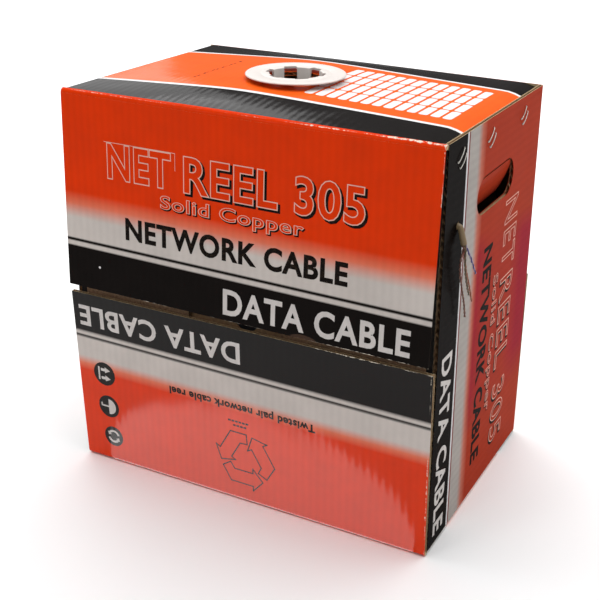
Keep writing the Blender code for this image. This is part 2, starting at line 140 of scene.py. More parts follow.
class Shade:
    """One node material, with short calls for the nodes that these finishes are made of."""

    def __init__(self, name, roughness=0.5, metallic=0.0, coat=0.0, coat_roughness=0.14, specular=0.5):
        self.material = bpy.data.materials.new(name)
        self.material.use_nodes = True
        self.nodes, self.links = self.material.node_tree.nodes, self.material.node_tree.links
        self.shader = self.nodes["Principled BSDF"]
        for socket, value in (("Roughness", roughness), ("Metallic", metallic), ("Coat Weight", coat),
                              ("Coat Roughness", coat_roughness), ("Specular IOR Level", specular)):
            self.shader.inputs[socket].default_value = value
        self.place = self.nodes.new("ShaderNodeTexCoord").outputs["Object"]
        self.x, self.y, self.z = self.node("ShaderNodeSeparateXYZ", self.place).outputs

    def put(self, socket, value):
        if isinstance(value, bpy.types.NodeSocket):
            self.links.new(value, socket)
        else:
            socket.default_value = value

    def node(self, kind, *values, **settings):
        """A new node, with values or links for its first sockets."""
        node = self.nodes.new(kind)
        for setting, value in settings.items():
            setattr(node, setting, value)
        for socket, value in zip(node.inputs, values):
            self.put(socket, value)
        return node

    def math(self, operation, *values):
        return self.node("ShaderNodeMath", *values, operation=operation).outputs[0]

    def away(self, value, place):
        """How far value is from place."""
        return self.math("ABSOLUTE", self.math("SUBTRACT", value, place))

    def map(self, value, low, high, new_low=0.0, new_high=1.0):
        return self.node("ShaderNodeMapRange", value, low, high, new_low, new_high).outputs[0]

    def noise(self, scale, detail=3.0, roughness=0.55, stretch=None):
        place = self.place
        if stretch:
            mapping = self.node("ShaderNodeMapping", place)
            mapping.inputs["Scale"].default_value = stretch
            place = mapping.outputs[0]
        node = self.node("ShaderNodeTexNoise", place)
        for socket, value in (("Scale", scale), ("Detail", detail), ("Roughness", roughness)):
            node.inputs[socket].default_value = value
        return node.outputs[0]

    def mix(self, share, first, second):
        node = self.node("ShaderNodeMix", data_type="RGBA")
        for slot, value in ((0, share), (6, first), (7, second)):
            self.put(node.inputs[slot], value)
        return node.outputs[2]

    def ramp(self, value, end, marks):
        """Colours by (place, colour) marks, as value runs from 0 to end."""
        node = self.node("ShaderNodeValToRGB", self.math("DIVIDE", value, end))
        stops = node.color_ramp.elements
        while len(stops) < len(marks):
            stops.new(0.5)
        for stop, (place, colour) in zip(stops, marks):
            stop.position = max(place, 0) / end
            stop.color = colour
        return node.outputs[0]

    def finish(self, base, rough, *layers):
        """Puts on the colour, the roughness and the bump, each layer (height, distance in metres)."""
        self.put(self.shader.inputs["Base Color"], base)
        if rough is not None:
            self.put(self.shader.inputs["Roughness"], rough)
        normal = None
        for height, distance in layers:
            node = self.nodes.new("ShaderNodeBump")
            for socket, value in (("Strength", 1.0), ("Distance", distance), ("Height", height)):
                self.put(node.inputs[socket], value)
            if normal:
                self.links.new(normal, node.inputs["Normal"])
            normal = node.outputs[0]
        if normal:
            self.links.new(normal, self.shader.inputs["Normal"])
            if self.shader.inputs["Coat Weight"].default_value > 0:
                self.links.new(normal, self.shader.inputs["Coat Normal"])
        return self.material

    def near(self, planes):
        """The distance to the nearest of these planes, each (axis, place)."""
        nearest = None
        for axis, place in planes:
            away = self.away(getattr(self, axis), place)
            nearest = away if nearest is None else self.math("MINIMUM", nearest, away)
        return nearest

    def spot(self, axes, centre, radii, softness):
        """1 inside an ellipse about a point, 0 outside it."""
        total = None
        for axis, place, radius in zip(axes, centre, radii):
            away = self.math("DIVIDE", self.math("SUBTRACT", getattr(self, axis), place), radius)
            square = self.math("MULTIPLY", away, away)
            total = square if total is None else self.math("ADD", total, square)
        return self.map(total, 1 + softness, 1 - softness)


ORANGE = srgb(230, 57, 6)
# The top's orange is the front's orange painted lighter: painted light on the top panel.
LIT_TOP_ORANGE = srgb(244, 96, 28)
# The side panels' orange is the front's orange painted darker: painted shade on the sides.
SHADED_SIDE_ORANGE = srgb(173, 57, 33)
# The tint of a painted magenta reflection on the side panels.
PAINTED_MAGENTA_REFLECTION = srgb(158, 26, 50)
GREY_WHITE = srgb(208, 199, 192)
# The side panels' grey-white is the front's grey-white painted darker: painted shade on the sides.
SHADED_SIDE_GREY = srgb(178, 171, 165)
LINE_WHITE = srgb(238, 236, 236)
INK_BLACK = srgb(16, 11, 9)
INK_DARK_RED = srgb(120, 40, 34)
KRAFT = srgb(168, 134, 100)
CUT_EDGE = srgb(206, 186, 146)
WORN_PAPER = srgb(226, 214, 196)
WEAR_REACH = 0.0016


def finish_print(shade, base, flutes, worn=(), focus=None, streaks=0.035):
    """Ink and varnish on board: the flutes show through as faint ridges, and its edges are scuffed."""
    base = shade.mix(shade.map(shade.noise(38, 4), 0.35, 0.7, 0.0, 0.1), base, (0.02, 0.015, 0.012, 1))
    ridge = shade.math("SINE", shade.math("MULTIPLY", getattr(shade, flutes), 2 * pi / FLUTE_PITCH))
    base = shade.mix(shade.map(ridge, -1, 1, 0.0, streaks), base, (0.0, 0.0, 0.0, 1))
    if worn:
        ragged = shade.map(shade.noise(300, 5, 0.65), 0.42, 0.66)
        patchy = shade.map(shade.noise(26, 2), 0.4, 0.66)
        reach = shade.math("MULTIPLY", shade.math("MULTIPLY", ragged, patchy), WEAR_REACH)
        if focus is not None:
            reach = shade.math("MULTIPLY", reach, focus)
        scuffed = shade.map(shade.math("SUBTRACT", reach, shade.near(worn)), 0.0, 0.0003)
        base = shade.mix(scuffed, base, WORN_PAPER)
    return shade.finish(base, shade.map(shade.noise(90, 4), 0.3, 0.7, 0.36, 0.5), (ridge, 0.000035),
                        (shade.noise(16, 2), 0.0012), (shade.noise(900, 3), 0.00002))


def band(low, high, colour):
    """Both ends of one flat band, a hair apart from its neighbours."""
    return [(low + 0.00015, colour), (high - 0.00015, colour)]


def front_print(name, coat):
    """The print of the front and rear flaps, from the bottom up: by height, slightly tilted."""
    shade = Shade(name, coat=coat, specular=0.0)
    height = shade.math("MULTIPLY_ADD", shade.x, 0.008, shade.z)
    marks = [(0.0, ORANGE), (0.0915, ORANGE), (0.0985, srgb(232, 122, 92)), (0.1065, GREY_WHITE)]
    marks += [(0.1263, GREY_WHITE)] + band(0.1265, 0.1284, INK_BLACK) + band(0.1284, 0.1322, GREY_WHITE)
    marks += band(0.1322, 0.2176, INK_BLACK) + band(0.2176, 0.2218, GREY_WHITE)
    marks += band(0.2218, 0.2238, INK_BLACK) + [(0.224, GREY_WHITE), (0.244, GREY_WHITE)]
    marks += [(0.257, srgb(232, 120, 90)), (0.268, ORANGE), (HEIGHT, ORANGE)]
    base = shade.ramp(height, HEIGHT, marks)
    speck = shade.spot("xz", (-0.1455, 0.202), (0.0011, 0.0011), 0.3)
    base = shade.mix(speck, base, LINE_WHITE)
    # Painted shade: a dark brown oval at the lower edge of the upper flaps, where the front one is dented.
    dent_shade = shade.spot("xz", (0.061, 0.179), (0.0125, 0.0042), 0.15)
    base = shade.mix(dent_shade, base, srgb(70, 52, 42))
    worn = [("x", HALF_WIDTH - 0.0018), ("z", HEIGHT - 0.0004), ("z", 0.1798), ("z", 0.0), ("z", 0.1738)]
    return finish_print(shade, base, "x", worn, shade.map(shade.x, 0.02, 0.16, 0.3, 0.9))


def top_print():
    shade = Shade("top_print", coat=0.42, specular=0.0)
    # The orange band is painted lighter than the front's orange, as painted light on the top.
    marks = band(-0.001, 0.068, LIT_TOP_ORANGE) + band(0.068, 0.0724, LINE_WHITE)
    marks += band(0.0724, 0.118, INK_BLACK)
    base = shade.ramp(shade.math("ABSOLUTE", shade.y), 0.12, marks)
    worn = [("x", -HALF_WIDTH), ("x", HALF_WIDTH - 0.004), ("y", -HALF_DEPTH), ("y", HALF_DEPTH)]
    return finish_print(shade, base, "x", worn)


def side_print():
    """The print of both side panels, from the front edge back, with painted shade and a painted magenta
    reflection.
    """
    shade = Shade("side_print", coat=0.06, coat_roughness=0.2, specular=0.0)
    slant = shade.math("MULTIPLY_ADD", shade.z, 0.006, shade.y)
    back = shade.math("ADD", slant, HALF_DEPTH - 0.001)
    # The grey-white, the orange and the step between them are painted darker than the front's, as painted
    # shade.
    marks = [(0.0, INK_BLACK), (0.0438, INK_BLACK)] + band(0.044, 0.0468, LINE_WHITE)
    marks += band(0.0468, 0.049, INK_DARK_RED) + [(0.0492, SHADED_SIDE_GREY), (0.069, SHADED_SIDE_GREY)]
    marks += [(0.078, srgb(196, 112, 92)), (0.088, SHADED_SIDE_ORANGE), (0.24, SHADED_SIDE_ORANGE)]
    base = shade.ramp(back, 0.24, marks)
    # Painted reflection: a magenta tint over both ends of the orange, part-way up the sides.
    low = shade.map(shade.math("MULTIPLY_ADD", shade.y, 0.12, shade.z), 0.262, 0.24)
    high = shade.map(shade.z, 0.07, 0.11)
    ends = shade.map(shade.away(shade.y, 0.026), 0.028, 0.062, 0.15, 0.85)
    reflection_share = shade.math("MULTIPLY", ends, shade.math("MULTIPLY", low, high))
    base = shade.mix(shade.math("MULTIPLY", reflection_share, shade.map(back, 0.078, 0.086)), base, PAINTED_MAGENTA_REFLECTION)
    worn = [("y", -HALF_DEPTH + 0.003), ("y", HALF_DEPTH - 0.003), ("z", 0.0035), ("z", HEIGHT + 0.0006)]
    return finish_print(shade, base, "z", worn, streaks=0.06)


def ink(name, colour, flutes, coat):
    shade = Shade(name, coat=coat, specular=0.0)
    base = shade.mix(shade.map(shade.noise(500, 3), 0.5, 0.8, 0, 0.08), colour, KRAFT)
    return finish_print(shade, base, flutes)


def scaled(colour, factor):
    return tuple(min(1, factor * c) for c in colour[:3]) + (1,)


def kraft(name, colour, fibre_scale=1.0, dark_edges=None):
    """Bare board. The last argument names the kind of piece whose outer edges are coloured near-black."""
    shade = Shade(name, roughness=0.85, specular=0.25)
    fibres = shade.noise(420 * fibre_scale, 6, 0.7)
    cloud = shade.noise(22, 3)
    base = shade.mix(shade.map(fibres, 0.35, 0.68), scaled(colour, 0.62), scaled(colour, 1.22))
    base = shade.mix(shade.map(cloud, 0.3, 0.7, 0, 0.35), base, colour)
    # Near-black on the cut faces at the front and rear ends of the side panels.
    if dark_edges == "panel":
        edge = shade.map(shade.math("ABSOLUTE", shade.y), HALF_TUBE - 0.0006, HALF_TUBE - 0.0003)
        base = shade.mix(edge, base, INK_BLACK)
    # Near-black along the slanted right-hand edge of the front upper flap.
    if dark_edges == "flap":
        skewed = shade.math("MULTIPLY_ADD", shade.z, -0.0189, shade.math("ADD", shade.x, 0.0068))
        base = shade.mix(shade.map(skewed, 0.1752, 0.1757), base, INK_BLACK)
    return shade.finish(base, shade.map(fibres, 0.3, 0.7, 0.75, 0.95), (fibres, 0.00004), (cloud, 0.0003))


def inner_flap_kraft():
    """Bare kraft, with the black of the side panels running a little way past the crease."""
    shade = Shade("inner_flap_face", roughness=0.8, specular=0.25)
    fibres = shade.noise(420, 6, 0.7)
    base = shade.mix(shade.map(fibres, 0.35, 0.68), srgb(118, 92, 70), srgb(168, 134, 104))
    ragged = shade.map(shade.noise(60, 2), 0, 1, -0.001, 0.001)
    edge = shade.math("ADD", shade.math("ABSOLUTE", shade.x), ragged)
    base = shade.mix(shade.map(edge, 0.1678, 0.1682), base, INK_BLACK)
    return shade.finish(base, None, (fibres, 0.00004))


def plastic(name, colour, roughness, grain=500, soil=None):
    shade = Shade(name, roughness=roughness)
    cloud = shade.noise(45, 3)
    fine = shade.noise(grain, 4)
    base = shade.mix(shade.map(cloud, 0.3, 0.7, 0.0, 0.25), colour, scaled(colour, 0.86))
    if soil:
        smears = shade.noise(70, 5, 0.7, (1, 1, 0.4))
        base = shade.mix(shade.map(smears, 0.56, 0.78, 0.0, 0.45), base, soil)
    rough = shade.map(fine, 0.3, 0.7, roughness - 0.06, roughness + 0.1)
    return shade.finish(base, rough, (fine, 0.00002), (cloud, 0.0002))


def steel(name):
    shade = Shade(name, metallic=1.0)
    drawn = shade.noise(260, 4, 0.6, (1, 1, 6))
    rust = shade.map(shade.noise(170, 4), 0.56, 0.74, 0.0, 0.7)
    base = shade.mix(shade.map(drawn, 0.3, 0.7), srgb(150, 146, 138), srgb(212, 208, 200))
    base = shade.mix(rust, base, srgb(120, 84, 58))
    return shade.finish(base, shade.map(drawn, 0.3, 0.7, 0.28, 0.5), (drawn, 0.00003))


def spiral_board():
    """Spiral-wound tube: seams run round the core at a slant."""
    shade = Shade("tube_board", roughness=0.8, specular=0.25)
    fibres = shade.noise(380, 6, 0.7)
    turn = shade.math("ARCTAN2", shade.math("SUBTRACT", shade.z, AXLE_HEIGHT), shade.x)
    turns = shade.math("MULTIPLY_ADD", shade.y, 1 / 0.09, shade.math("DIVIDE", turn, 2 * pi))
    line = shade.map(shade.math("FRACT", turns), 0.0, 0.02, 1.0, 0.0)
    base = shade.mix(shade.map(fibres, 0.35, 0.68), srgb(150, 126, 98), srgb(192, 168, 134))
    return shade.finish(shade.mix(line, base, srgb(96, 76, 56)), None, (fibres, 0.00004), (line, 0.0004))


UPPER_PRINT = front_print("upper_flap_print", 0.07)
LOWER_PRINT = front_print("lower_flap_print", 0.38)
TOP_PRINT = top_print()
SIDE_PRINT = side_print()
KRAFT_LINER = kraft("kraft_liner", KRAFT)
# Liner and cut edges coloured near-black along the front upper flap's right-hand edge and at the side panels'
# ends.
DARK_EDGE_LINER = kraft("dark_edge_liner", KRAFT, dark_edges="flap")
CUT_BOARD = kraft("cut_board", CUT_EDGE, 1.6)
DARK_EDGE_CUT = kraft("dark_edge_cut", CUT_EDGE, 1.6, dark_edges="flap")
FOLDED_CUT = kraft("folded_cut", CUT_EDGE, 1.6, dark_edges="panel")
INNER_FACE = inner_flap_kraft()
FIBREBOARD = kraft("fibreboard", srgb(150, 122, 92), 0.8)
TUBE_BOARD = spiral_board()
RING_PLASTIC = plastic("ring_plastic", srgb(220, 212, 206), 0.38, 700, srgb(212, 198, 182))
HUB_PLASTIC = plastic("hub_plastic", srgb(38, 38, 40), 0.45, 600)
STEEL = steel("stitch_steel")
JACKET = plastic("cable_jacket", srgb(134, 112, 80), 0.45, 500, srgb(104, 86, 60))
INKS = {}
for surface, flute_axis, gloss in (("upper", "x", 0.07), ("lower", "x", 0.38), ("top", "x", 0.5),
                                   ("side", "z", 0.06)):
    for ink_name, ink_colour in (("black", INK_BLACK), ("light", srgb(212, 206, 202)), ("white", LINE_WHITE),
                                 ("outline", srgb(238, 186, 168))):
        INKS[ink_name, surface] = ink("_".join(["ink", ink_name, surface]), ink_colour, flute_axis, gloss)


# ---- mesh helpers ----

def link(name, mesh, materials=()):
    obj = bpy.data.objects.new(name, mesh)
    bpy.context.scene.collection.objects.link(obj)
    for finish in materials:
        mesh.materials.append(finish)
    return obj


def raw_object(name, verts, faces, materials=(), kinds=None):
    """A closed mesh with its faces turned outward, linked so that modifiers can work on it."""
    mesh = bpy.data.meshes.new(name)
    mesh.from_pydata([tuple(v) for v in verts], [], faces)
    if kinds:
        mesh.polygons.foreach_set("material_index", kinds)
    form = bmesh.new()
    form.from_mesh(mesh)
    bmesh.ops.recalc_face_normals(form, faces=form.faces)
    form.to_mesh(mesh)
    form.free()
    return link(name, mesh, materials)


def baked(obj):
    """The object's mesh with its modifiers in it."""
    bpy.context.view_layer.update()
    evaluated = obj.evaluated_get(bpy.context.evaluated_depsgraph_get())
    return bpy.data.meshes.new_from_object(evaluated)


def boolean(obj, cutter, operation):
    step = obj.modifiers.new("cut", "BOOLEAN")
    step.operation = operation
    step.solver = "EXACT"
    step.object = cutter
    mesh = baked(obj)
    obj.modifiers.clear()
    obj.data = mesh


def join(name, objects, materials):
    form = bmesh.new()
    for obj in objects:
        form.from_mesh(obj.data)
    mesh = bpy.data.meshes.new(name)
    form.to_mesh(mesh)
    form.free()
    for obj in objects:
        bpy.data.objects.remove(obj, do_unlink=True)
    return link(name, mesh, materials)


def smooth(obj, angle):
    obj.data.shade_smooth()
    obj.data.set_sharp_from_angle(angle=radians(angle))


def piece(obj, angle, slot, body, *nodes):
    """Smooths a finished piece, hides the CAD parts that it stands for, and hangs it on what it rides on."""
    smooth(obj, angle)
    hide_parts(*nodes)
    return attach(obj, body)


def circle(radius, count):
    return [(radius * cos(2 * pi * i / count), radius * sin(2 * pi * i / count)) for i in range(count)]


def steps_between(length, step):
    count = max(1, ceil(length / step))
    return [length * i / count for i in range(count + 1)]


def slab(name, us, vs, place, low, high, face=None):
    """A closed sheet over the grid us by vs, between two depths below the outer face. Its faces have
    material 0 on the printed side, 1 on the other faces and 2 on the cut edges."""
    nu, nv = len(us), len(vs)
    verts = [place(u, v, depth(u, v)) for depth in (low, high) for u in us for v in vs]

    def at(layer, i, j):
        return (layer * nu + i) * nv + j

    faces, kinds = [], []
    for i in range(nu - 1):
        for j in range(nv - 1):
            faces.append((at(0, i, j), at(0, i + 1, j), at(0, i + 1, j + 1), at(0, i, j + 1)))
            faces.append((at(1, i, j), at(1, i, j + 1), at(1, i + 1, j + 1), at(1, i + 1, j)))
            kinds += [0 if face else 1, 1]
    edges = [((i, j), (i + 1, j)) for i in range(nu - 1) for j in (0, nv - 1)]
    edges += [((i, j), (i, j + 1)) for j in range(nv - 1) for i in (0, nu - 1)]
    faces += [(at(0, *a), at(0, *b), at(1, *b), at(1, *a)) for a, b in edges]
    return raw_object(name, verts, faces, kinds=kinds + [2] * len(edges))


def prism(name, points, thickness, place=(0, 0, 0), turn=(0, 0, 0)):
    """A flat outline in the XY plane, thickened both ways along Z, then turned and moved to its place."""
    count = len(points)
    verts = [(x, y, side * thickness / 2) for side in (-1, 1) for x, y in points]
    faces = [tuple(range(count)), tuple(range(count, 2 * count))]
    faces += [(i, (i + 1) % count, (i + 1) % count + count, i + count) for i in range(count)]
    obj = raw_object(name, verts, faces)
    obj.location, obj.rotation_euler = place, turn
    return obj


def board(name, nodes, body, place, size, flutes, face, thickness=BOARD, cutters=(), keep=None, cell=0.011,
          liner=None, cut=None):
    """Single-wall board: two liners and the fluted medium between them, as one piece. flutes is the
    direction that the wave runs in, u or v. face is the print on the outer liner."""
    us, vs = steps_between(size[0], cell), steps_between(size[1], cell)
    fine = FLUTE_PITCH / FLUTE_STEPS
    wave_us = steps_between(size[0], fine) if flutes == "u" else us
    wave_vs = steps_between(size[1], fine) if flutes == "v" else vs
    swing = thickness / 2 - LINER - MEDIUM / 2 + 0.00003

    def wave(u, v):
        return thickness / 2 + swing * sin(2 * pi * (u if flutes == "u" else v) / FLUTE_PITCH)

    plies = [
        slab(name, us, vs, place, lambda u, v: 0, lambda u, v: LINER, face),
        slab(name, us, vs, place, lambda u, v: thickness - LINER, lambda u, v: thickness),
        slab(name, wave_us, wave_vs, place, lambda u, v: wave(u, v) - MEDIUM / 2,
             lambda u, v: wave(u, v) + MEDIUM / 2),
    ]
    cuts = [(cutter, "DIFFERENCE") for cutter in cutters] + ([(keep, "INTERSECT")] if keep else [])
    for cutter, operation in cuts:
        for ply in plies:
            boolean(ply, cutter, operation)
        bpy.data.objects.remove(cutter, do_unlink=True)
    obj = join(name, plies, [face or KRAFT_LINER, liner or KRAFT_LINER, cut or CUT_BOARD])
    piece(obj, 30, "printed_board" if face not in (None, INNER_FACE) else "kraft_board", body, *nodes)


def tube(path, radius, sides):
    """The verts and faces of a round tube along a list of points. radius is a number, or a function of
    the share of the way along."""
    verts, faces = [], []
    for i, (point, (across, up)) in enumerate(zip(path, transport(path))):
        wide = radius(i / (len(path) - 1)) if callable(radius) else radius
        verts += [point + x * across + y * up for x, y in circle(wide, sides)]
    for i in range(len(path) - 1):
        for k in range(sides):
            a, b = i * sides + k, i * sides + (k + 1) % sides
            faces.append((a, b, b + sides, a + sides))
    faces.append(tuple(reversed(range(sides))))
    faces.append(tuple(range((len(path) - 1) * sides, len(path) * sides)))
    return verts, faces


def transport(path):
    """For each point, two directions square to the path that don't twist along it."""
    frames = []
    across = None
    for i, point in enumerate(path):
        along = (path[min(i + 1, len(path) - 1)] - path[max(i - 1, 0)]).normalized()
        if across is None:
            across = along.orthogonal().normalized()
        across = (across - along * across.dot(along)).normalized()
        frames.append((across, along.cross(across)))
    return frames


def turned(name, profile, steps, material):
    """A closed profile of (radius, height) points turned about Z."""
    count = len(profile)
    verts = [(r * cos(2 * pi * i / steps), r * sin(2 * pi * i / steps), z)
             for i in range(steps) for r, z in profile]
    faces = []
    for i in range(steps):
        for k in range(count):
            here, there, after = i * count, (i + 1) % steps * count, (k + 1) % count
            faces.append((here + k, here + after, there + after, there + k))
    return raw_object(name, verts, faces, [material])


# ---- the carton ----

def crown(x, y):
    """How far the top panel stands above its flat edges."""
    reach = HALF_WIDTH + (CROWN_PEAK_X if x < CROWN_PEAK_X else -CROWN_PEAK_X)
    away = sqrt((x - CROWN_PEAK_X) ** 2 + CROWN_ROUNDING ** 2) - CROWN_ROUNDING
    furthest = sqrt(reach ** 2 + CROWN_ROUNDING ** 2) - CROWN_ROUNDING
    across = max(0.0, 1 - away / furthest)
    along = max(0.0, 1 - abs(y / HALF_DEPTH) ** 3)
    return CROWN_HEIGHT * across * along


def uneven(a, b, seed):
    """The slow unevenness of a sheet of board."""
    return 0.00016 * noise.noise(Vector((a * 8, b * 8, seed)))


FOLD_RADIUS = 0.0042
SAG_REACH = 0.0135                         # the top panel drops towards its stitched edge
SAG_DROP = 0.0026
SAG_RADIUS = 0.004
TAB_FACE = HALF_WIDTH - FOLD
TAB_LENGTH = FOLD + JOINT_TAB_DEPTH - SAG_DROP - SAG_RADIUS
TOP_FLAT = TAB_FACE - SAG_RADIUS + HALF_WIDTH - FOLD_RADIUS
TOP_SHEET_LENGTH = TAB_LENGTH + TOP_FLAT + (SAG_RADIUS + FOLD_RADIUS) * pi / 2


def top_place(x, y, depth):
    """A point of the flat part of the top panel."""
    return Vector((x, y, HEIGHT + crown(x, y) + uneven(x, y, 1) - depth))


def top_sheet(u, y, depth):
    """The top panel and its tab. u runs from the tab's lower edge, over the stitched edge, to the left."""
    if u < TAB_LENGTH:
        return Vector((TAB_FACE - depth, y, HEIGHT - FOLD - JOINT_TAB_DEPTH + u))
    u -= TAB_LENGTH
    start = TAB_FACE - SAG_RADIUS
    if u < SAG_RADIUS * pi / 2:
        turn, wide = u / SAG_RADIUS, SAG_RADIUS - depth
        return Vector((start + wide * cos(turn), y, HEIGHT - SAG_DROP - SAG_RADIUS + wide * sin(turn)))
    u -= SAG_RADIUS * pi / 2
    if u < TOP_FLAT:
        x = start - u
        drop = SAG_DROP * max(0.0, 1 - u / SAG_REACH) ** 2
        return Vector((x, y, HEIGHT + crown(x, y) + uneven(x, y, 1) * min(1, u / 0.02) - drop - depth))
    turn, wide = (u - TOP_FLAT) / FOLD_RADIUS, FOLD_RADIUS - depth
    return Vector((FOLD_RADIUS - HALF_WIDTH - wide * sin(turn), y, HEIGHT - FOLD_RADIUS + wide * cos(turn)))


def make_top():
    hole = prism("ring_hole", circle(RING_HOLE_RADIUS, 96), 0.06, RING_CENTRE + Vector((0, 0, HEIGHT)))
    board("top_panel_board", ["top_panel", "joint_tab"], "root",
          lambda u, v, w: top_sheet(u, v - HALF_TUBE, w), (TOP_SHEET_LENGTH, 2 * HALF_TUBE), "u", TOP_PRINT,
          cutters=[hole], cell=0.006)


def rounded_slot(width, height, steps=12):
    """The outline of a slot with half-round ends, its top edge on the X axis and its middle at x = 0."""
    radius = height / 2
    points = []
    for side, start in ((1, -pi / 2), (-1, pi / 2)):
        for step in range(steps + 1):
            angle = start + pi * step / steps
            points.append((side * (width / 2 - radius) + radius * cos(angle), radius * sin(angle) - radius))
    return points


def side_place(side, y, z, depth):
    return Vector((side * (HALF_WIDTH - depth), y, z))


def make_sides():
    for side, name in ((-1, "left"), (1, "right")):
        cutters = [prism("slot", rounded_slot(HAND_HOLE_WIDTH, HAND_HOLE_HEIGHT), 0.02,
                         (side * (HALF_WIDTH - BOARD / 2), 0, HAND_HOLE_TOP), (pi / 2, 0, pi / 2))]
        if side > 0:
            cutters.append(prism("cable_hole", circle(CABLE_HOLE_RADIUS, 24), 0.02, CABLE_EXIT, (0, pi / 2, 0)))
        high = HEIGHT if side > 0 else HEIGHT - FOLD_RADIUS
        board(name + "_panel_board", [name + "_panel"], "root",
              lambda u, v, w, s=side: side_place(s, u - HALF_TUBE, v + FOLD_RADIUS, w),
              (2 * HALF_TUBE, high - FOLD_RADIUS), "v", SIDE_PRINT, cutters=cutters, cut=FOLDED_CUT)
        make_handle_flap(side, name)


def make_handle_flap(side, name):
    """The piece that the hand hole frees, pushed in about its top edge."""
    turn = Matrix.Translation((side * (HALF_WIDTH - BOARD), 0, HAND_HOLE_TOP))
    turn = turn @ Matrix.Rotation(side * HANDLE_FLAP_PUSH, 4, "Y")
    slack = 2 * HANDLE_FLAP_CLEARANCE
    width, height = HAND_HOLE_WIDTH - slack, HAND_HOLE_HEIGHT - slack
    keep = prism("keep", rounded_slot(width, height), 0.02)
    keep.matrix_world = turn @ Matrix.Translation((side * BOARD / 2, 0, -HANDLE_FLAP_CLEARANCE)) @ (
        Matrix.Rotation(pi / 2, 4, "Z") @ Matrix.Rotation(pi / 2, 4, "X"))
    wide, tall = width + 0.002, height + 0.002
    board(name + "_handle_flap_board", [name + "_handle_flap"], name + "_handle_flap",
          lambda u, v, w: turn @ Vector((side * (BOARD - w), u - wide / 2,
                                         v - tall - HANDLE_FLAP_CLEARANCE + 0.001)),
          (wide, tall), "v", SIDE_PRINT, keep=keep)


def make_bottom():
    """The bottom panel with the rounded folds to both side panels."""
    flat = 2 * (HALF_WIDTH - FOLD_RADIUS)
    turn_length = FOLD_RADIUS * pi / 2

    def place(u, v, w):
        y, wide = v - HALF_TUBE, FOLD_RADIUS - w
        if u < turn_length:
            turn = u / FOLD_RADIUS
            return Vector((-HALF_WIDTH + FOLD_RADIUS - wide * cos(turn), y, FOLD_RADIUS - wide * sin(turn)))
        if u < turn_length + flat:
            return Vector((u - turn_length - HALF_WIDTH + FOLD_RADIUS, y, w))
        turn = (u - turn_length - flat) / FOLD_RADIUS
        return Vector((HALF_WIDTH - FOLD_RADIUS + wide * sin(turn), y, FOLD_RADIUS - wide * cos(turn)))

    size = (flat + 2 * turn_length, 2 * HALF_TUBE)
    board("bottom_panel_board", ["bottom_panel"], "root", place, size, "u", TOP_PRINT, cell=0.0052)


def flap_length(upper, x_share):
    if upper:
        return UPPER_FLAP_LENGTH
    return LOWER_FLAP_LENGTHS[0] + (LOWER_FLAP_LENGTHS[1] - LOWER_FLAP_LENGTHS[0]) * x_share


def flap_point(end, upper, x_share, s_share, depth):
    """A point of an outer flap: shares run left to right, and from the crease to the free edge."""
    left, right = -HALF_WIDTH, HALF_WIDTH - FLAP_SIDE_INSET
    if upper:
        shift_left = shift_right = UPPER_FLAP_SKEW
        turn, height, sense = end * UPPER_FLAP_LEAN, HEIGHT, -1
    else:
        shift_left, shift_right = -LOWER_FLAP_FLARE, FLAP_SIDE_INSET
        turn, height, sense = -end * LOWER_FLAP_LEANS[end], 0, 1
    s = FOLD + (flap_length(upper, x_share) - FOLD) * s_share
    x = (left + shift_left * s_share) * (1 - x_share) + (right + shift_right * s_share) * x_share
    pushed = dent(x, s) if upper and end < 0 else 0.0
    y, z = -end * (depth + pushed), sense * s
    return Vector((x, end * HALF_DEPTH + y * cos(turn) - z * sin(turn), height + y * sin(turn) + z * cos(turn)))


def dent(x, s):
    """Small knocks in the front upper flap: how far the board is pushed in."""
    pushed = 0.0
    for at_x, at_s, wide, deep in ((0.061, 0.1815, 0.0075, 0.0008), (0.079, 0.13, 0.0045, 0.0004)):
        away = ((x - at_x) ** 2 + (s - at_s) ** 2) / wide ** 2
        pushed += deep * max(0.0, 1 - away) ** 2
    return pushed


def make_outer_flaps():
    for end, where in ENDS:
        for upper, which in ((True, "upper"), (False, "lower")):
            size = (2 * HALF_WIDTH, UPPER_FLAP_LENGTH - FOLD if upper else LOWER_FLAP_LENGTHS[1] - FOLD)
            node = where + "_" + which + "_flap"
            liner, cut = (DARK_EDGE_LINER, DARK_EDGE_CUT) if upper and end < 0 else (None, None)
            board(node + "_board", [node], node,
                  lambda u, v, w, e=end, k=upper, z=size: flap_point(e, k, u / z[0], v / z[1], w),
                  size, "u", UPPER_PRINT if upper else LOWER_PRINT, cell=0.006, liner=liner, cut=cut)
            make_crease(end, upper, node)


def make_crease(end, upper, body):
    """The rounded fold between a panel and its outer flap."""
    height, sense = (HEIGHT, -1) if upper else (0, 1)
    xs = steps_between(2 * HALF_WIDTH - FLAP_SIDE_INSET, 0.011)
    turns = steps_between(pi / 2, pi / 16)
    centre = Vector((0, end * HALF_TUBE, height + sense * FOLD))

    def place(u, turn, w):
        wide = FOLD - w
        x = u - HALF_WIDTH
        lift = crown(x, HALF_TUBE) * (1 - turn / (pi / 2)) if upper else 0
        return centre + Vector((x, end * wide * sin(turn), -sense * wide * cos(turn) + lift))

    finish = UPPER_PRINT if upper else LOWER_PRINT
    obj = slab(body + "_crease", xs, turns, place, lambda u, v: 0, lambda u, v: BOARD, finish)
    for material in (finish, KRAFT_LINER, CUT_BOARD):
        obj.data.materials.append(material)
    smooth(obj, 50)
    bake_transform(obj)


def make_inner_flaps():
    for end, where in ENDS:
        for side, name in ((-1, "left"), (1, "right")):
            node = "_".join([where, name, "inner_flap"])
            board(node + "_board", [node], "root",
                  lambda u, v, w, e=end, s=side: Vector((s * (TAB_FACE - u), e * (HALF_TUBE - w), FOLD + v)),
                  (INNER_FLAP_LENGTHS[side], HEIGHT - 2 * FOLD), "v", INNER_FACE, cell=0.02)


